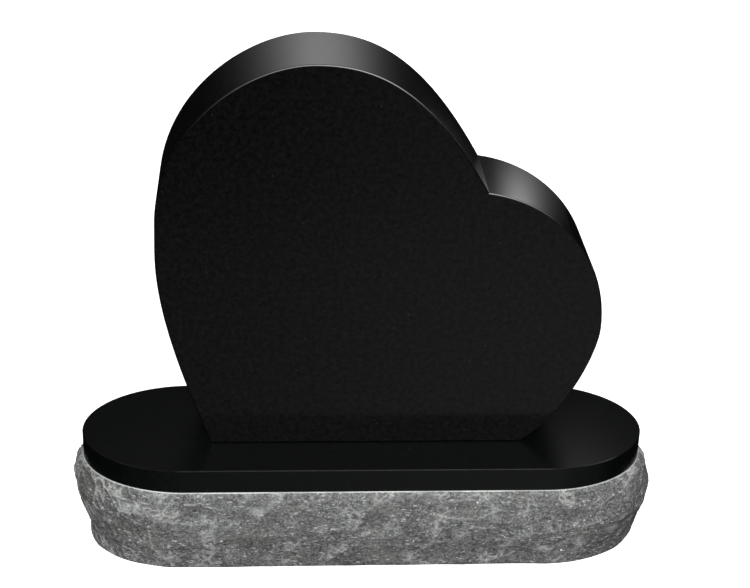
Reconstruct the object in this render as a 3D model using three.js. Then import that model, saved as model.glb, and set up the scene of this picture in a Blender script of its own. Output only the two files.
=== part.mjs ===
// Headstone in black granite: a leaning heart tablet, polished all over, standing on one base
// block with half-oval ends. The base has a polished top and a polished margin round its upper
// edge. Below the margin its sides are rock-pitched: broken off in hollows with a chisel.
//
// Millimetres, +Z up. The base stands on z = 0, the front of the stone faces -Y, and the origin
// is at the middle of the base's plan.

import * as THREE from 'three';

// Base: 48 by 14 inches in plan, 10 inches high, with a margin of a little over 2 inches.
const baseLength = 1219.2;
const baseDepth = 355.6;
const baseHeight = 254;
const baseEndReach = 228.6; // how far each half-oval end runs past the straight sides
const marginHeight = 52.8;
const topArris = 1.5; // eased edge between the top and the margin

// Tablet: 8 inches thick, set towards the back of the base.
const tabletThickness = 203.2;
const tabletFrontY = -65.7;
const tabletArris = 2.5;
const settingGap = 0.3; // between the tablet's underside and the base

// Heart outline seen from the front: x from the middle of the base, height above the tablet's
// own underside. The left lobe is the tall one, and the heart leans to the right.
const footLeft = new THREE.Vector2(-331, 0);
const leftReach = new THREE.Vector2(-438, 503);
const crown = new THREE.Vector2(-116, 851);
const notch = new THREE.Vector2(232, 584);
const rightReach = new THREE.Vector2(488, 279);
const footRight = new THREE.Vector2(335, 0);

// How far each curve is drawn along the direction it leaves these points in.
const footLeftPull = new THREE.Vector2(-127, 334);
const leftReachPullDown = 72;
const leftReachPullUp = 214;
const crownPullLeft = 138;
const crownPullRight = 124;
const notchPullUp = new THREE.Vector2(-122, 213);
const notchPullRight = new THREE.Vector2(138, -19);
const rightReachPullUp = 170;
const rightReachPullDown = 65;
const footRightPull = new THREE.Vector2(92, 61);
const outlineSteps = 36; // straight steps in each of the five curves

// Rock-pitched faces: how far each swells out past the margin, how high up it does (a rise under
// 1 swells close under the margin) and how far its foot draws in.
const frontAndBack = { bulge: 13, rise: 0.62, footInset: 15 };
const leftEnd = { bulge: 20, rise: 0.58, footInset: 5 };
const rightEnd = { bulge: 34, rise: 0.8, footInset: 0 };
const pitchLedge = 2.5; // broken edge straight below the margin

// Hollows in the rock face, in rows round the block. Each strays from its place by up to this
// share of the spacing. They fade out over the same share of the height under the margin.
const hollowRows = 3;
const hollowsPerRow = 28;
const hollowStray = 0.3;
const hollowRadius = { least: 44, most: 85 };
const hollowDepth = { least: 4, most: 9 };
const hollowFade = 0.25;
const hollowShareAtFoot = 0.35;

// One larger chip low on the left end: its place as a share of the way round the plan, its depth
// below the margin, and its size.
const chip = { share: 0.893, down: 168, radius: 82, depth: 15 };

const ringStations = 208;
const rockRings = 12;
const ringCrowding = 1.2; // over 1, the rings stand closer together under the margin

const rockHeight = baseHeight - marginHeight;

// A repeatable value from 0 to 1 for each whole number.
function scatter(number) {
  const wave = Math.sin(number * 127.1 + 3.7) * 4375.85;
  return wave - Math.floor(wave);
}

function heartOutline() {
  const shape = new THREE.Shape();
  shape.moveTo(footLeft.x, footLeft.y);
  shape.lineTo(footRight.x, footRight.y);
  shape.bezierCurveTo(
    footRight.x + footRightPull.x, footRight.y + footRightPull.y,
    rightReach.x, rightReach.y - rightReachPullDown,
    rightReach.x, rightReach.y,
  );
  shape.bezierCurveTo(
    rightReach.x, rightReach.y + rightReachPullUp,
    notch.x + notchPullRight.x, notch.y + notchPullRight.y,
    notch.x, notch.y,
  );
  shape.bezierCurveTo(
    notch.x + notchPullUp.x, notch.y + notchPullUp.y,
    crown.x + crownPullRight, crown.y,
    crown.x, crown.y,
  );
  shape.bezierCurveTo(
    crown.x - crownPullLeft, crown.y,
    leftReach.x, leftReach.y + leftReachPullUp,
    leftReach.x, leftReach.y,
  );
  shape.bezierCurveTo(
    leftReach.x, leftReach.y - leftReachPullDown,
    footLeft.x + footLeftPull.x, footLeft.y + footLeftPull.y,
    footLeft.x, footLeft.y,
  );
  return shape;
}

function makeTablet() {
  const geometry = new THREE.ExtrudeGeometry(heartOutline(), {
    depth: tabletThickness - 2 * tabletArris,
    curveSegments: outlineSteps,
    bevelThickness: tabletArris,
    bevelSize: tabletArris,
    bevelOffset: -tabletArris,
    bevelSegments: 1,
  });
  const polishedGranite = new THREE.MeshStandardMaterial({
    color: 0x17181a,
    roughness: 0.2,
    metalness: 0,
  });
  const tablet = new THREE.Mesh(geometry, polishedGranite);
  tablet.name = 'heart_tablet';
  // The outline is drawn flat and stood up, so its thickness runs forward from the back face.
  tablet.rotation.x = Math.PI / 2;
  tablet.position.y = tabletFrontY + tabletThickness - tabletArris;
  tablet.position.z = baseHeight + settingGap;
  return tablet;
}

// The margin's plan, anticlockwise seen from above, starting at the front left.
function basePlan() {
  const straight = baseLength / 2 - baseEndReach;
  const half = baseDepth / 2;
  const plan = new THREE.Shape();
  plan.moveTo(-straight, -half);
  plan.lineTo(straight, -half);
  plan.absellipse(straight, 0, baseEndReach, half, -Math.PI / 2, Math.PI / 2);
  plan.lineTo(-straight, half);
  plan.absellipse(-straight, 0, baseEndReach, half, Math.PI / 2, 3 * Math.PI / 2);
  return plan;
}

// Points spaced evenly round the plan, each with its outward direction and its distance along.
function planStations() {
  const plan = basePlan();
  const length = plan.getLength();
  const stations = [];
  for (let i = 0; i < ringStations; i += 1) {
    const share = i / ringStations;
    const tangent = plan.getTangent(share);
    stations.push({
      point: plan.getPoint(share),
      outward: new THREE.Vector2(tangent.y, -tangent.x),
      along: share * length,
      length,
    });
  }
  return stations;
}

// Each hollow is a shallow scoop. They stand in rows round the block, shifted at random, and
// where two meet the deeper one counts, which leaves a ridge between them.
function makeHollows(length) {
  const hollows = [{ along: chip.share * length, ...chip }];
  const stray = (seed) => THREE.MathUtils.lerp(-hollowStray, hollowStray, scatter(seed));
  const between = (range, seed) => THREE.MathUtils.lerp(range.least, range.most, scatter(seed));
  for (let row = 0; row < hollowRows; row += 1) {
    for (let place = 0; place < hollowsPerRow; place += 1) {
      const seed = row * hollowsPerRow + place;
      const stagger = row % 2 === 0 ? 0.25 : 0.75;
      hollows.push({
        along: (place + stagger + stray(seed)) / hollowsPerRow * length,
        down: (row + 0.5 + stray(seed + 500)) / hollowRows * rockHeight,
        radius: between(hollowRadius, seed + 1000),
        depth: between(hollowDepth, seed + 1500),
      });
    }
  }
  return hollows;
}

function hollowAt(hollows, station, down) {
  let deepest = 0;
  for (const hollow of hollows) {
    const direct = Math.abs(station.along - hollow.along);
    const across = Math.min(direct, station.length - direct);
    const spread = (across ** 2 + (down - hollow.down) ** 2) / hollow.radius ** 2;
    deepest = Math.max(deepest, hollow.depth * (1 - spread));
  }
  return deepest;
}

// How far the rock face stands out from the margin's plan at one station and one depth below
// the margin. It swells under the margin and draws in at the foot.
function rockOffset(hollows, station, down) {
  const share = down / rockHeight;
  const straight = baseLength / 2 - baseEndReach;
  const endShare = Math.max(0, Math.abs(station.point.x) - straight) / baseEndReach;
  const end = station.point.x < 0 ? leftEnd : rightEnd;
  const blend = (name) => THREE.MathUtils.lerp(frontAndBack[name], end[name], endShare ** 1.5);
  const swell = blend('bulge') * Math.sin(Math.PI * share ** blend('rise'));
  const drawIn = blend('footInset') * share ** 3;
  const ledge = pitchLedge * Math.min(1, down / (4 * pitchLedge));
  const fade = Math.min(1, share / hollowFade, hollowShareAtFoot + (1 - share) / hollowFade);
  return ledge + swell - drawIn - hollowAt(hollows, station, down) * fade;
}

function ring(stations, height, offsetAt) {
  return stations.map((station) => {
    const offset = offsetAt(station);
    return new THREE.Vector3(
      station.point.x + station.outward.x * offset,
      station.point.y + station.outward.y * offset,
      height,
    );
  });
}

// One closed body through rings that run upwards, with flat caps at both ends.
function loft(rings) {
  const count = rings[0].length;
  const index = [];
  for (let level = 0; level + 1 < rings.length; level += 1) {
    for (let i = 0; i < count; i += 1) {
      const next = (i + 1) % count;
      const lower = level * count;
      const upper = lower + count;
      index.push(lower + i, lower + next, upper + next);
      index.push(lower + i, upper + next, upper + i);
    }
  }
  const top = (rings.length - 1) * count;
  const flat = (points) => points.map((point) => new THREE.Vector2(point.x, point.y));
  for (const [a, b, c] of THREE.ShapeUtils.triangulateShape(flat(rings[0]), [])) {
    index.push(a, c, b);
  }
  for (const [a, b, c] of THREE.ShapeUtils.triangulateShape(flat(rings.at(-1)), [])) {
    index.push(top + a, top + b, top + c);
  }
  const geometry = new THREE.BufferGeometry().setFromPoints(rings.flat());
  geometry.setIndex(index);
  geometry.computeVertexNormals();
  return geometry;
}

function makeBase() {
  const stations = planStations();
  const hollows = makeHollows(stations[0].length);
  const rings = [];
  for (let level = rockRings; level > 0; level -= 1) {
    const down = rockHeight * (level / rockRings) ** ringCrowding;
    rings.push(ring(stations, rockHeight - down, (station) => rockOffset(hollows, station, down)));
  }
  rings.push(ring(stations, rockHeight, () => 0));
  rings.push(ring(stations, baseHeight - topArris, () => 0));
  rings.push(ring(stations, baseHeight, () => -topArris));
  const pitchedGranite = new THREE.MeshStandardMaterial({
    color: 0x6f7170,
    roughness: 0.85,
    metalness: 0,
  });
  const base = new THREE.Mesh(loft(rings), pitchedGranite);
  base.name = 'base';
  return base;
}

const headstone = new THREE.Group();
headstone.add(makeBase());
headstone.add(makeTablet());

export default headstone;
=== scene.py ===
# %% [markdown]
# # A heart headstone in black granite
#
# This lesson dresses a headstone that is made of two stones. The upright one, the tablet, is a
# slab of black granite sawn to a leaning heart and polished all over. The one it stands on, the
# base, is a single block with half-oval ends. Its top and a band round its upper edge, the
# margin, are polished too, and below that its sides are rock-pitched: a mason has broken them
# off in hollows with a chisel, which turns the same black stone grey.
#
# The imported model gives the shape and the place of both stones. We load it, and print the box
# of each stone.

# %% Load the imported model
import math
from math import radians

import bmesh
import bpy
from mathutils import Matrix, Vector, noise


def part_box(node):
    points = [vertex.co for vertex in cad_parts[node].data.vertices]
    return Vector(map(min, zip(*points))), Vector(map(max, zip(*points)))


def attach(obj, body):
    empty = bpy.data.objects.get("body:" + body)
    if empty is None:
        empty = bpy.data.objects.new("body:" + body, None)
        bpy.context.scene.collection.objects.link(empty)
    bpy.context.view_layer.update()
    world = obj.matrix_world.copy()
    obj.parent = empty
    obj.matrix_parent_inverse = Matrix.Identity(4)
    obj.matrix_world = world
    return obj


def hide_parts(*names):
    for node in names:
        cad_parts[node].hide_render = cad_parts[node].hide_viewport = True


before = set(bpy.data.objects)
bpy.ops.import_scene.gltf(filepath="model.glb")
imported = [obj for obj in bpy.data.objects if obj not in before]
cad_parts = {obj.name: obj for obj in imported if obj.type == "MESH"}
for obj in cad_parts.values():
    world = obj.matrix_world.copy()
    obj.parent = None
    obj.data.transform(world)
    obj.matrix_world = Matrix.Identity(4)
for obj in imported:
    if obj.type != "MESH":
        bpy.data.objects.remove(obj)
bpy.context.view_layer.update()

scene = bpy.context.scene
tablet_low, tablet_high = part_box("heart_tablet")
base_low, base_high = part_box("base")
base_top = base_high.z
print("tablet from", tablet_low[:], "to", tablet_high[:])
print("base from", base_low[:], "to", base_high[:])

# %% [markdown]
# ## The camera
#
# The photograph looks down on the stone from the front, a little from the left, with a long
# lens. The camera's place, its turn and its lens were worked out from edges whose real sizes are
# known: the base is 48 by 14 inches, and its margin is a little over 2 inches high. The camera
# is turned in three steps that a photographer would know: it is panned, then tipped down, then
# rolled about the line that it looks along.

# %% Camera
PHOTO_WIDTH = 750  # pixels
FOCAL_PIXELS = 1675.6
CAMERA_ACROSS = -0.2224
CAMERA_BACK = -3.1226
CAMERA_ABOVE_BASE = 1.9287
PAN = radians(4.34)  # to the right
TIP = radians(27.135)  # down from level
ROLL = radians(1.98)

camera_data = bpy.data.cameras.new("camera")
camera_data.lens = camera_data.sensor_width * FOCAL_PIXELS / PHOTO_WIDTH
camera = bpy.data.objects.new("camera", camera_data)
turn = (
    Matrix.Rotation(-PAN, 4, "Z")
    @ Matrix.Rotation(radians(90) - TIP, 4, "X")
    @ Matrix.Rotation(ROLL, 4, "Z")
)
camera_place = Vector((CAMERA_ACROSS, CAMERA_BACK, base_top + CAMERA_ABOVE_BASE))
camera.matrix_world = Matrix.Translation(camera_place) @ turn
scene.collection.objects.link(camera)
scene.camera = camera
print("lens", round(camera_data.lens, 2), "mm at", camera_place[:])

# %% [markdown]
# ## Copying a stone to work on
#
# A node of the imported model may not be changed. Each stone is worked on in a copy, and its
# node in the imported model is hidden. The copy arrives as loose triangles, so the corners that
# lie on each other are merged first. From then on it is one closed skin, and Blender's mesh
# operators can round, divide and smooth it.

# %% Copy of a node, and a piece made from it
MERGE_DISTANCE = 0.00001
CREASE_ANGLE = radians(30)


def copied_stone(node):
    """A bmesh of one node's mesh, with its loose triangles joined into one skin."""
    mesh = bmesh.new()
    mesh.from_mesh(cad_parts[node].data)
    bmesh.ops.remove_doubles(mesh, verts=mesh.verts, dist=MERGE_DISTANCE)
    mesh.normal_update()
    open_edges = sum(1 for edge in mesh.edges if len(edge.link_faces) != 2)
    print(node, "copied:", len(mesh.verts), "corners,", open_edges, "open edges")
    return mesh


def finished_piece(name, mesh, node, materials):
    """An object from a bmesh, smooth but for its creases, which stands for a node.

    Its normals are weighted by the area of the faces, so a wide flat face stays flat
    right up to its rounded edge, and only the round itself is shaded as one.
    """
    data = bpy.data.meshes.new(name)
    mesh.to_mesh(data)
    mesh.free()
    for material in materials:
        data.materials.append(material)
    data.shade_smooth()
    data.set_sharp_from_angle(angle=CREASE_ANGLE)
    piece = bpy.data.objects.new(name, data)
    weighting = piece.modifiers.new("weighted normals", "WEIGHTED_NORMAL")
    weighting.keep_sharp = True
    scene.collection.objects.link(piece)
    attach(piece, "root")
    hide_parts(node)
    data.calc_loop_triangles()
    print(name, "has", len(data.loop_triangles), "triangles")


print("stones can be copied and finished")

# %% [markdown]
# ## Writing a finish as sums
#
# A procedural finish is a web of nodes, and most of them only add, multiply or compare numbers.
# A small class that wraps a node's output lets us write those as ordinary sums: `1 - mask` adds
# the Math node that works it out. Every other kind of node comes from one method, which sets the
# node's options first and then fills its inputs with values or with other outputs.

# %% Wires and finishes
class Wire:
    """A node's output, with arithmetic."""

    def __init__(self, finish, output):
        self.finish = finish
        self.output = output

    def math(self, operation, first, second):
        settings = {"operation": operation}
        return self.finish.node("ShaderNodeMath", settings, {0: first, 1: second})

    def __add__(self, other):
        return self.math("ADD", self, other)

    def __radd__(self, other):
        return self.math("ADD", other, self)

    def __sub__(self, other):
        return self.math("SUBTRACT", self, other)

    def __rsub__(self, other):
        return self.math("SUBTRACT", other, self)

    def __mul__(self, other):
        return self.math("MULTIPLY", self, other)

    def __rmul__(self, other):
        return self.math("MULTIPLY", other, self)

    def __truediv__(self, other):
        return self.math("DIVIDE", self, other)

    def __pow__(self, other):
        return self.math("POWER", self, other)

    def __rpow__(self, other):
        return self.math("POWER", other, self)


class Finish:
    """A material, or the world, that is being put together round its one shader."""

    def __init__(self, owner, shader="Principled BSDF"):
        owner.use_nodes = True
        self.owner = owner
        self.tree = owner.node_tree
        self.shader = self.tree.nodes[shader]

    def node(self, kind, settings=None, inputs=None, output=0):
        made = self.tree.nodes.new(kind)
        for key, value in (settings or {}).items():
            setattr(made, key, value)
        for key, value in (inputs or {}).items():
            self.fill(made.inputs[key], value)
        return Wire(self, made.outputs[output])

    def fill(self, socket, value):
        if isinstance(value, Wire):
            self.tree.links.new(value.output, socket)
        else:
            socket.default_value = value

    def set(self, **sockets):
        """Fills the shader's sockets; an underscore in a name stands for a space."""
        for name, value in sockets.items():
            self.fill(self.shader.inputs[name.replace("_", " ")], value)

    def blend(self, share, first, second):
        """A colour part of the way from the first to the second."""
        settings = {"data_type": "RGBA", "clamp_factor": True}
        # The Mix node keeps its colour sockets after its number and vector ones.
        return self.node(
            "ShaderNodeMix", settings, {0: share, 6: first, 7: second}, output=2
        )

    def between(self, value, low, high):
        """0 below low and 1 above high, with a soft step between."""
        settings = {"interpolation_type": "SMOOTHSTEP"}
        inputs = {"Value": value, "From Min": low, "From Max": high}
        return self.node("ShaderNodeMapRange", settings, inputs)

    def place(self):
        """Each point's place on the piece, in metres; in a world, a ray's direction."""
        return self.node("ShaderNodeTexCoord", output="Object")

    def along(self, axis):
        """How far along X, Y or Z each point is."""
        return self.node("ShaderNodeSeparateXYZ", inputs={0: self.place()}, output=axis)

    def cloud(self, size, detail=2.0, roughness=0.5):
        """Smooth random values near 0.5 that change over about this size, in metres."""
        inputs = {
            "Vector": self.place(),
            "Scale": 1 / size,
            "Detail": detail,
            "Roughness": roughness,
        }
        return self.node("ShaderNodeTexNoise", inputs=inputs, output="Fac")

    def grains(self, size, stretch=1.0):
        """One random value from 0 to 1 for each grain, which may be stretched level."""
        level = {"Vector": self.place(), "Scale": (1 / stretch, 1 / stretch, 1)}
        place = self.node("ShaderNodeMapping", inputs=level)
        inputs = {"Vector": place, "Scale": 1 / size}
        colour = self.node("ShaderNodeTexVoronoi", inputs=inputs, output="Color")
        return self.node("ShaderNodeSeparateColor", inputs={0: colour}, output="Red")


def new_finish(name):
    return Finish(bpy.data.materials.new(name))


print("finishes are ready to be written")

# %% [markdown]
# ## Polished black granite
#
# Black granite is a tight mass of dark crystals, most of them one or two millimetres across. A
# polish makes them look almost black, and only in a raking light can one grain be told from the
# next. So the colour is a near black that differs a little from grain to grain and from one
# thumb's breadth to the next, with a very rare paler speck. A picture of granite would have to
# be wrapped round each stone and would repeat, so the grains are worked out from each point's
# place on the stone instead.
#
# What gives a stone away as polished is what it mirrors. The tablet is polished bright. The top
# and the margin of the base have a duller polish: they mirror the tablet only close to its foot,
# as a soft dark zone that is gone a hand's breadth away.

# %% Polished granite
GRAIN = 0.0022
CLOT = 0.0110
PALE_GRAIN = 0.0030
PALE_SPECK = (0.014, 0.015, 0.015, 1)


def polished_finish(name, dark_grain, light_grain, roughness):
    polish = new_finish(name)
    clots = polish.between(polish.cloud(CLOT, detail=2.0), 0.25, 0.75)
    share = 0.45 * polish.grains(GRAIN) ** 2 + 0.55 * clots
    grain_colour = polish.blend(share, dark_grain, light_grain)
    pale_specks = polish.between(polish.grains(PALE_GRAIN), 0.9990, 0.9997)
    polish.set(
        Base_Color=polish.blend(pale_specks, grain_colour, PALE_SPECK),
        Roughness=roughness + 0.04 * polish.cloud(0.02),
        IOR=1.52,
    )
    print(name, "has", len(polish.tree.nodes), "nodes")
    return polish.owner


tablet_polish = polished_finish(
    "bright_black_granite",
    dark_grain=(0.0002, 0.0002, 0.0002, 1),
    light_grain=(0.0056, 0.0057, 0.0057, 1),
    roughness=0.13,
)
base_polish = polished_finish(
    "dull_black_granite",
    dark_grain=(0.0006, 0.0010, 0.0008, 1),
    light_grain=(0.0024, 0.0034, 0.0028, 1),
    roughness=0.24,
)

# %% [markdown]
# ## The heart tablet
#
# The saw leaves a slab with a sharp outline, and the polisher eases its edges with a narrow
# flat, the arris, which also gets a slight round where it meets the faces. That round is what
# draws the thin bright line along the heart. We copy the slab, find the edges of the narrow
# flats by the angle at which their faces meet, and round them with the bevel operator. The base
# has an arris too, so the same helper is used for it later.

# %% Tablet
ARRIS_ANGLES = (radians(35), radians(55))
FLAT_ANGLE = radians(0.5)


def round_arris(mesh, radius, lowest):
    """Rounds the two edges of each arris above a height."""
    edges = [
        edge for edge in mesh.edges
        if min(point.co.z for point in edge.verts) > lowest
        and ARRIS_ANGLES[0] < edge.calc_face_angle(0) < ARRIS_ANGLES[1]
    ]
    bmesh.ops.bevel(
        mesh,
        geom=edges,
        offset=radius,
        segments=2,
        profile=0.5,
        material=-1,
        affect="EDGES",
    )
    print("rounded", len(edges), "edges")


slab = copied_stone("heart_tablet")
bmesh.ops.dissolve_limit(
    slab, angle_limit=FLAT_ANGLE, verts=slab.verts, edges=slab.edges
)
round_arris(slab, radius=0.0008, lowest=0.0)
finished_piece(
    "tablet", slab, "heart_tablet", [tablet_polish]
)

# %% [markdown]
# ## Rock-pitched granite: the grains
#
# Where the stone is broken instead of polished, every crystal shows its own rough face, and the
# black stone turns a middle grey that sparkles. The grey is made of grains again, now with a
# strong difference between dark and pale ones, on top of a mottle and a slow change over the
# whole face. It has a few warmer patches. It is also painted a little darker at the two ends and
# towards the foot, as painted shade for the lesser light that reaches them. Some crystals lie
# flat along the bed of the stone and show as short pale or dark dashes.
#
# Each layer is worked out as a share from 0 to 1 and blended over the colour that is there so
# far, so the finish reads from the bottom layer up.

# %% Grains of the rock
MARGIN = 0.0528
PITCH_LINE = base_top - MARGIN
DARK_ROCK = (0.024, 0.025, 0.024, 1)
PALE_ROCK = (0.350, 0.359, 0.352, 1)
WARM_ROCK = (0.165, 0.145, 0.140, 1)

rock = new_finish("rock_pitched_granite")
below_pitch = PITCH_LINE - rock.along("Z")
fine_grain = rock.grains(0.0027)
coarse_grain = rock.grains(0.0056)
slow_change = rock.cloud(0.07, detail=4.0, roughness=0.6)
mottle = rock.cloud(0.013, detail=3.0, roughness=0.6)
# Painted shade: the ends and the foot get a darker colour, for the lesser light that reaches them.
painted_shade_at_ends = rock.between(rock.along("X") * rock.along("X"), 0.16, 0.30)
painted_shade_at_foot = rock.between(below_pitch, 0.10, 0.19)
tone = 0.45 * fine_grain + 0.18 * coarse_grain + 0.33 * slow_change + 0.31 * mottle
tone = tone - 0.165 - 0.06 * painted_shade_at_ends - 0.05 * painted_shade_at_foot
rock_colour = rock.blend(tone ** 1.4, DARK_ROCK, PALE_ROCK)
warm_share = 0.35 * rock.between(rock.cloud(0.06, detail=3.0), 0.56, 0.70)
rock_colour = rock.blend(warm_share, rock_colour, WARM_ROCK)
print("the pitch line is", round(PITCH_LINE, 4), "m up")

# %% Dashes along the bed of the stone
PALE_DASH = (0.40, 0.41, 0.40, 1)
DARK_DASH = (0.030, 0.031, 0.030, 1)

dash_grain = rock.grains(0.0024, stretch=3.0)
pale_dashes = rock.between(dash_grain, 0.955, 0.970)
dark_dashes = rock.between(1 - dash_grain, 0.950, 0.965)
rock_colour = rock.blend(0.8 * pale_dashes, rock_colour, PALE_DASH)
rock_colour = rock.blend(0.6 * dark_dashes, rock_colour, DARK_DASH)
print("the rock's finish has", len(rock.tree.nodes), "nodes so far")

# %% [markdown]
# ## Rock-pitched granite: what the chisel did
#
# The chisel bruises the stone where it strikes, so there is a paler zone under the margin and a
# thin white line right along its edge. The ridges between two hollows are crushed to a paler
# grey too. Some of the hollows and the grooves between the fine ridges get a darker colour, which
# is painted shade for the shade that falls in them. Where those ridges and hollows are is known
# only once the rock is shaped, so the shape writes it on the mesh, above 0 for crushed and below
# 0 for painted shade, under the name `crush_and_shade`, and the finish reads it from there.
#
# A few crystals are white right through, and a very few have split flat and flash. That flash
# is a painted highlight, a near-white colour on those crystals. These stay bright whatever the
# chisel did round them, so only the white line is laid over them.

# %% Bruises and crushed ridges
BRUISE_REACH = 0.040
BRUISED = (0.36, 0.37, 0.36, 1)
CRUSHED = (0.48, 0.49, 0.48, 1)
PAINTED_HOLLOW_SHADE = (0.098, 0.093, 0.087, 1)

bruise_fade = 1 - rock.between(below_pitch, 0.0, BRUISE_REACH)
bruises = bruise_fade * rock.between(rock.cloud(0.010, detail=4.0), 0.52, 0.74)
rock_colour = rock.blend(0.25 * bruises, rock_colour, BRUISED)
crush_and_shade = rock.node("ShaderNodeAttribute", {"attribute_name": "crush_and_shade"}, output="Fac")
crushed_share = crush_and_shade * (0.3 + 0.5 * fine_grain)
rock_colour = rock.blend(crushed_share, rock_colour, CRUSHED)
# Painted shade: where the attribute is below 0, hollows and grooves get a darker colour.
rock_colour = rock.blend(0 - 0.8 * crush_and_shade, rock_colour, PAINTED_HOLLOW_SHADE)
print("bruises reach", BRUISE_REACH, "m down")

# %% White dots, painted glints and the white line
WHITE_DOT = (0.46, 0.47, 0.46, 1)
PAINTED_GLINT = (0.80, 0.80, 0.78, 1)
WHITE_LINE = (0.66, 0.68, 0.66, 1)
LINE_WIDTH = 0.0018

white_dots = rock.between(rock.grains(0.0034), 0.980, 0.985)
rock_colour = rock.blend(0.7 * white_dots, rock_colour, WHITE_DOT)
# Painted highlight: a very few crystals flash, drawn as a near-white colour and not as a mirror.
painted_glints = rock.between(rock.grains(0.0046), 0.9984, 0.9990)
rock_colour = rock.blend(painted_glints, rock_colour, PAINTED_GLINT)
line_edge = LINE_WIDTH * (0.4 + 1.2 * rock.cloud(0.008, detail=3.0))
white_line = 1 - rock.between(below_pitch, line_edge * 0.7, line_edge * 1.4)
white_line = white_line * (0.55 + 0.45 * rock.between(rock.cloud(0.15), 0.40, 0.58))
rock_colour = rock.blend(white_line, rock_colour, WHITE_LINE)
print("the white line is about", LINE_WIDTH, "m wide")

# %% Bump, and the rock's finish
crystal_height = 0.5 * rock.cloud(0.0036, detail=3.0) + 0.5 * fine_grain
rock_bump = rock.node(
    "ShaderNodeBump",
    inputs={"Strength": 0.8, "Distance": 0.0012, "Height": crystal_height},
)
rock.set(Base_Color=rock_colour, Roughness=0.85, Normal=rock_bump)
rock_granite = rock.owner
print(rock_granite.name, "has", len(rock.tree.nodes), "nodes")

# %% [markdown]
# ## The relief of the rock
#
# The imported model already has the hollows that the chisel left. What is finer is worked out
# here for any point of the rock: shallow scallops with sharp ridges between them, fine ridges
# that run down from the pitch line, most of all round the left end, a few shell-shaped scars
# with a crushed rim, and a fine crumb. A bump in the finish would be less work, but it wouldn't
# shade itself or show in the outline. Each of these forms gives two numbers for a point: how far
# it moves out, and how crushed it is there, where a number below 0 is painted shade for the
# grooves and the insides of some scars.

# %% Scallops
SCALLOPS = (
    {"size": 0.075, "depth": 0.0070, "stretch": 0.65},
    {"size": 0.027, "depth": 0.0022, "stretch": 0.80},
)
RIDGE_WIDTH = 0.0060
RIDGE_PATCH = 0.045  # ridges come and go over about this distance
NOISE_SEED = 1

# Blender's noise vectors start from a seed, which is the time of day unless one is set here.
noise.seed_set(NOISE_SEED)


def step(value, low, high):
    """0 below low and 1 above high, with a soft step between."""
    share = min(1.0, max(0.0, (value - low) / (high - low)))
    return share * share * (3 - 2 * share)


def scallop(point, size, depth, stretch):
    """A hollow round the nearest of many scattered points, and its ridge."""
    spot = Vector((point.x, point.y, point.z / stretch)) / size
    spot += 0.25 * noise.noise_vector(spot * 0.9)
    nearest, second = noise.voronoi(spot)[0][:2]
    ridge = max(0.0, 1 - (second - nearest) * size / RIDGE_WIDTH)
    patchy = step(noise.noise(point / RIDGE_PATCH), -0.05, 0.45)
    return depth * (min(nearest, 1.0) ** 2 - 0.35), ridge * patchy


print("scallops about", [form["size"] for form in SCALLOPS], "m wide")

# %% Streaks
STREAKS = {"size": 0.013, "depth": 0.0070}
STREAK_RUN = Vector((0.39, -0.51, -0.77)).normalized()
STREAK_STRETCH = 6.0
STREAK_RIDGE = 0.17
STREAK_SHARE = {"least": 0.12, "from": 0.42, "to": 0.54}  # metres left of the middle


def streak(point, size, depth):
    """Fine crushed ridges, each long and narrow, with painted shade in the grooves between them.
    """
    shorter = point.dot(STREAK_RUN) * (1 - 1 / STREAK_STRETCH)
    crossed = abs(noise.noise((point - STREAK_RUN * shorter) / size))
    share = step(-point.x, STREAK_SHARE["from"], STREAK_SHARE["to"])
    share = STREAK_SHARE["least"] + (1 - STREAK_SHARE["least"]) * share
    ridge = max(0.0, 1 - crossed / STREAK_RIDGE)
    # Painted shade: the grooves between the ridges get a darker colour through the second number.
    painted_groove_shade = 0.25 * step(crossed, 0.25, 0.50)
    return share * depth * (0.2 - crossed), share * (ridge - painted_groove_shade)


print("streaks run along", [round(part, 2) for part in STREAK_RUN])

# %% Scars
# The middle of each, half its width and height, its depth, and how much painted shade it gets
# inside.
SCARS = (
    ((-0.363, -0.186, 0.151), (0.047, 0.026), 0.0030, 0.0),
    ((-0.535, -0.145, 0.075), (0.085, 0.062), 0.0030, 0.4),
    ((-0.598, -0.085, 0.155), (0.036, 0.048), 0.0030, 1.0),
    ((-0.018, -0.184, 0.101), (0.024, 0.011), 0.0015, 0.0),
    ((0.210, -0.182, 0.160), (0.060, 0.024), 0.0020, 0.0),
    ((0.440, -0.172, 0.185), (0.034, 0.018), 0.0020, 0.0),
)
SCAR_RIM = 0.0038


def scar(point, middle, half, depth, dark):
    """A shell-shaped hollow with painted shade inside, and a crushed rim that comes and goes."""
    away = point - Vector(middle)
    across = math.hypot(away.x, away.y) / half[0]
    out = math.hypot(across, away.z / half[1]) + 0.10 * noise.noise(point / 0.016)
    bowl = max(0.0, 1 - out * out)
    comes_and_goes = 0.3 + 0.7 * step(noise.noise(point / 0.030), -0.30, 0.10)
    rim_distance = abs(1 - 1 / max(out, 0.1)) * away.length
    rim = max(0.0, 1 - rim_distance / SCAR_RIM) * comes_and_goes
    # Below 0 the second number is painted shade: the colour inside the bowl is darkened.
    return -depth * bowl, rim - dark * step(bowl, 0.0, 0.3)


print(len(SCARS), "scars")

# %% All of the relief together
CRUMB = {"size": 0.0075, "depth": 0.0010}
EDGE_FADE = 0.014  # from the pitch line down, and from the ground up


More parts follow.
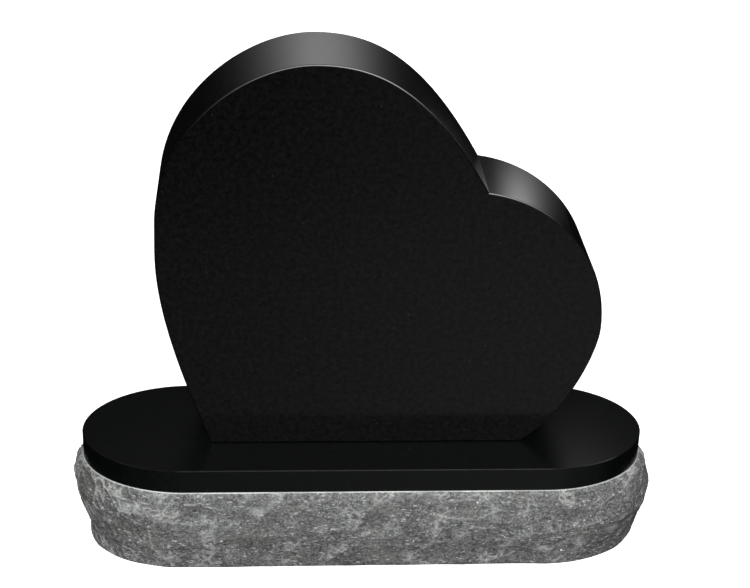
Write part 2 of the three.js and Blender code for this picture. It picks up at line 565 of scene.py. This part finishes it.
def roughened(point):
    """How far a point of the rock moves out along its normal; its crush above 0, painted shade
    below.
    """
    forms = [scallop(point, **sizes) for sizes in SCALLOPS]
    forms.append(streak(point, **STREAKS))
    forms += [scar(point, *sizes) for sizes in SCARS]
    relief = sum(form[0] for form in forms)
    relief += CRUMB["depth"] * noise.fractal(point / CRUMB["size"], 1.0, 2.0, 3)
    low_edge = step(point.z, 0.0, EDGE_FADE)
    high_edge = step(PITCH_LINE - point.z, 0.0, EDGE_FADE)
    crush_and_shade_value = max(form[1] for form in forms) + min(form[1] for form in forms)
    return relief * min(low_edge, high_edge), crush_and_shade_value


print("the relief fades in over", EDGE_FADE, "m")

# %% [markdown]
# ## The base
#
# The block is copied like the slab, and its faces are told apart by their height: what lies
# above the pitch line is polished, and what lies below it is rock. The narrow arris round the
# top is told by its slant, and has the tablet's bright polish.
#
# The rock is divided finely and smoothed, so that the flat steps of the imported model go. Then
# each point moves along its own normal by the relief. The points on the pitch line and on the
# ground stay where they are, so the margin stays true and the block stands flat.

# %% The block
NEAR = 0.0001  # heights closer than this count as the same
LEVEL_ANGLE = radians(1)

block = copied_stone("base")
crush_and_shade_layer = block.verts.layers.float.new("crush_and_shade")
top_points = [point for point in block.verts if point.co.z > base_top - NEAR]
top_edges = [
    edge for edge in block.edges
    if max(point.co.z for point in edge.verts) > base_top - NEAR
    and edge.calc_face_angle(0) < LEVEL_ANGLE
]
bmesh.ops.dissolve_limit(
    block, angle_limit=LEVEL_ANGLE, verts=top_points, edges=top_edges
)
round_arris(block, radius=0.00005, lowest=PITCH_LINE)

# %% Its rock, divided and smoothed
ROCK_CUTS = 5
SMOOTH_ROUNDS = 4


def is_rock(face):
    """Whether a face lies between the ground and the pitch line."""
    return NEAR < face.calc_center_median().z < PITCH_LINE - NEAR


bmesh.ops.join_triangles(
    block,
    faces=[face for face in block.faces if is_rock(face)],
    angle_face_threshold=math.pi,
    angle_shape_threshold=math.pi,
)
rock_edges = [
    edge for edge in block.edges if any(is_rock(face) for face in edge.link_faces)
]
bmesh.ops.subdivide_edges(block, edges=rock_edges, cuts=ROCK_CUTS, use_grid_fill=True)
rock_points = [point for point in block.verts if NEAR < point.co.z < PITCH_LINE - NEAR]
for _ in range(SMOOTH_ROUNDS):
    bmesh.ops.smooth_vert(
        block,
        verts=rock_points,
        factor=0.5,
        use_axis_x=True,
        use_axis_y=True,
        use_axis_z=True,
    )
print("divided", len(rock_edges), "edges and smoothed", len(rock_points), "points")

# %% Its rock, roughened
POLISH_INDEX, ROCK_INDEX, ARRIS_INDEX = range(3)

block.normal_update()
moves = []
for point in rock_points:
    relief, crush_and_shade_value = roughened(point.co)
    # The second number, crush above 0 and painted shade below 0, is kept on the mesh for the
    # finish.
    point[crush_and_shade_layer] = crush_and_shade_value
    moves.append((point, point.normal * relief))
for point, move in moves:
    point.co += move
for face in block.faces:
    if face.calc_center_median().z < PITCH_LINE - NEAR:
        face.material_index = ROCK_INDEX
    elif 0.1 < face.normal.z < 0.9:
        face.material_index = ARRIS_INDEX
    else:
        face.material_index = POLISH_INDEX
print("roughened up to", round(max(move.length for point, move in moves), 4), "m")
finished_piece(
    "base_block",
    block,
    "base",
    [base_polish, rock_granite, tablet_polish],
)

# %% [markdown]
# ## The floor and the walls
#
# The stone stands on a plain pale floor in a white studio. Polished stone mirrors whatever is
# round it, though, and a photographer keeps it black by giving it dark things to mirror. Black
# sheets could be hung all round, but the world can do the same by asking what kind of ray meets
# it. It is white for a ray from the camera, a softer white for light on its way to a matte
# surface, and dark for a mirrored ray, and the floor isn't mirrored at all.
#
# The dark walls aren't even: a paler screen hangs in front of the stone above the camera, and
# low down in front the walls are a little lighter too, most of all towards the right. The soft
# white isn't even either: it is dimmer from the sides, from behind, from straight above and from
# below, which shapes the rock. The floor glows a little of its own, so that it stays white even
# where the stone shades it.

# %% Floor
FLOOR_SIZE = 40

floor_mesh = bmesh.new()
bmesh.ops.create_grid(floor_mesh, x_segments=1, y_segments=1, size=FLOOR_SIZE / 2)
floor_data = bpy.data.meshes.new("floor")
floor_mesh.to_mesh(floor_data)
floor_mesh.free()
floor_finish = new_finish("pale_floor")
floor_finish.set(
    Base_Color=(0.85, 0.85, 0.85, 1),
    Roughness=0.9,
    Emission_Color=(1, 1, 1, 1),
    Emission_Strength=0.7,
)
floor_data.materials.append(floor_finish.owner)
floor = bpy.data.objects.new("floor", floor_data)
floor.visible_glossy = False
floor.visible_diffuse = False
scene.collection.objects.link(floor)
print("floor", FLOOR_SIZE, "m square")

# %% Studio walls
WHITE = (1.0, 1.0, 1.0, 1)
SOFT_WHITE = (0.80, 0.80, 0.80, 1)
FLOOR_GREY = (0.08, 0.08, 0.08, 1)
DIM_GREY = (0.06, 0.06, 0.06, 1)

studio = Finish(bpy.data.worlds.new("studio"), shader="Background")
right = studio.along("X")
up = studio.along("Z")
down = 0 - up
in_front = studio.between(0 - studio.along("Y"), 0.2, 0.6)
to_one_side = studio.between(right * right, 0.05, 0.25)
low_wall = 0.082 * studio.between(down, 0.38, 0.44)
low_wall = low_wall + 0.118 * studio.between(right, -0.08, 0.18)
low_wall = low_wall * (1 - 0.55 * to_one_side)
screen = 0.8 * studio.between(up, 0.15, 0.38) * (1 - studio.between(up, 0.60, 0.78))
ceiling = 0.032 * studio.between(up, 0.10, 0.45) + 0.01 * studio.between(up, 0.60, 0.95)
glow = in_front * (low_wall + screen) + ceiling + 0.004
dark = studio.node(
    "ShaderNodeCombineColor", inputs={name: glow for name in ("Red", "Green", "Blue")}
)
from_camera = studio.node("ShaderNodeLightPath", output="Is Camera Ray")
mirrored = studio.node("ShaderNodeLightPath", output="Is Glossy Ray")
soft = studio.blend(studio.between(up, -0.05, 0.05), FLOOR_GREY, SOFT_WHITE)
far_to_one_side = studio.between(right * right, 0.10, 0.60)
behind = studio.between(studio.along("Y"), -0.4, 0.5)
overhead = studio.between(up, 0.4, 0.9)
soft = studio.blend(far_to_one_side, soft, DIM_GREY)
soft = studio.blend(0.35 * behind, soft, DIM_GREY)
soft = studio.blend(0.5 * overhead, soft, DIM_GREY)
seen = studio.blend(from_camera, soft, WHITE)
studio.set(Color=studio.blend(mirrored, seen, dark))
studio.owner.cycles.sampling_method = "NONE"
scene.world = studio.owner
scene.view_settings.view_transform = "Standard"
print("the studio has", len(studio.tree.nodes), "nodes")

# %% [markdown]
# ## The cards
#
# What a polished stone shows is set with cards, glowing sheets that stand where the stone
# mirrors them. The rounded top of a lobe mirrors what is behind the stone and a little higher
# than it, so one upright card behind each lobe draws the soft highlight there, brightest in its
# middle and fading out like a bell curve. Their places and widths were worked out from how the
# highlights fade in the photograph. A wide card hangs level above the front of the stone, for
# the bright line along the arris. The cards have no gloss of their own and light nothing else:
# matte surfaces, shadows and the camera don't see them.

# %% Cards
CARD_REACH = 3.2  # spreads from the middle of a card to its edge


def glow_card(name, centre, spread, strength):
    """A card across the two axes that have a spread, glowing most in its middle."""
    flat = spread.index(0)
    plane = bmesh.new()
    bmesh.ops.create_grid(plane, x_segments=1, y_segments=1, size=CARD_REACH)
    if flat == 1:
        turn = Matrix.Rotation(radians(90), 3, "X")
        bmesh.ops.rotate(plane, verts=plane.verts, cent=(0, 0, 0), matrix=turn)
    bmesh.ops.scale(plane, verts=plane.verts, vec=[size or 1 for size in spread])
    bmesh.ops.translate(plane, verts=plane.verts, vec=centre)
    data = bpy.data.meshes.new(name)
    plane.to_mesh(data)
    plane.free()
    glow = new_finish(name + "_glow")
    away = 0
    for axis, middle, size in zip("XYZ", centre, spread):
        if size:
            away = away + ((glow.along(axis) - middle) / size) ** 2
    fade = math.e ** (-0.5 * away)
    glow.set(
        Base_Color=(0, 0, 0, 1),
        Specular_IOR_Level=0.0,
        Emission_Color=(1, 1, 1, 1),
        Emission_Strength=strength,
        Alpha=fade,
    )
    data.materials.append(glow.owner)
    card = bpy.data.objects.new(name, data)
    card.visible_camera = False
    card.visible_diffuse = False
    card.visible_shadow = False
    scene.collection.objects.link(card)
    print(name, "glows at", centre)


glow_card("card_for_tall_lobe", (-0.073, 1.0, 1.522), (0.250, 0, 0.222), 1.12)
glow_card("card_for_low_lobe", (0.594, 0.6, 1.185), (0.073, 0, 0.188), 2.7)
glow_card("card_overhead", (0.75, -0.67, 2.6), (1.30, 0.24, 0), 12.0)

# %% [markdown]
# ## The key light
#
# The rock's relief shows only where light comes more from one side, so a soft key light is added
# to the white walls. It shines down from the front, from a little to the left of straight ahead.
# It is a sun, which reaches the whole floor evenly, and a wide one, so its shadows are soft.

# %% Key light
KEY_HEIGHT = radians(42)
KEY_SIDE = radians(-5)  # to the left of straight in front
KEY_SPREAD = radians(30)
KEY_STRENGTH = 3.6

key_data = bpy.data.lights.new("key", "SUN")
key_data.energy = KEY_STRENGTH
key_data.angle = KEY_SPREAD
key = bpy.data.objects.new("key", key_data)
key.rotation_euler = (radians(90) - KEY_HEIGHT, 0, KEY_SIDE)
key.visible_glossy = False
scene.collection.objects.link(key)
print("key light", KEY_STRENGTH, "watts to the square metre")
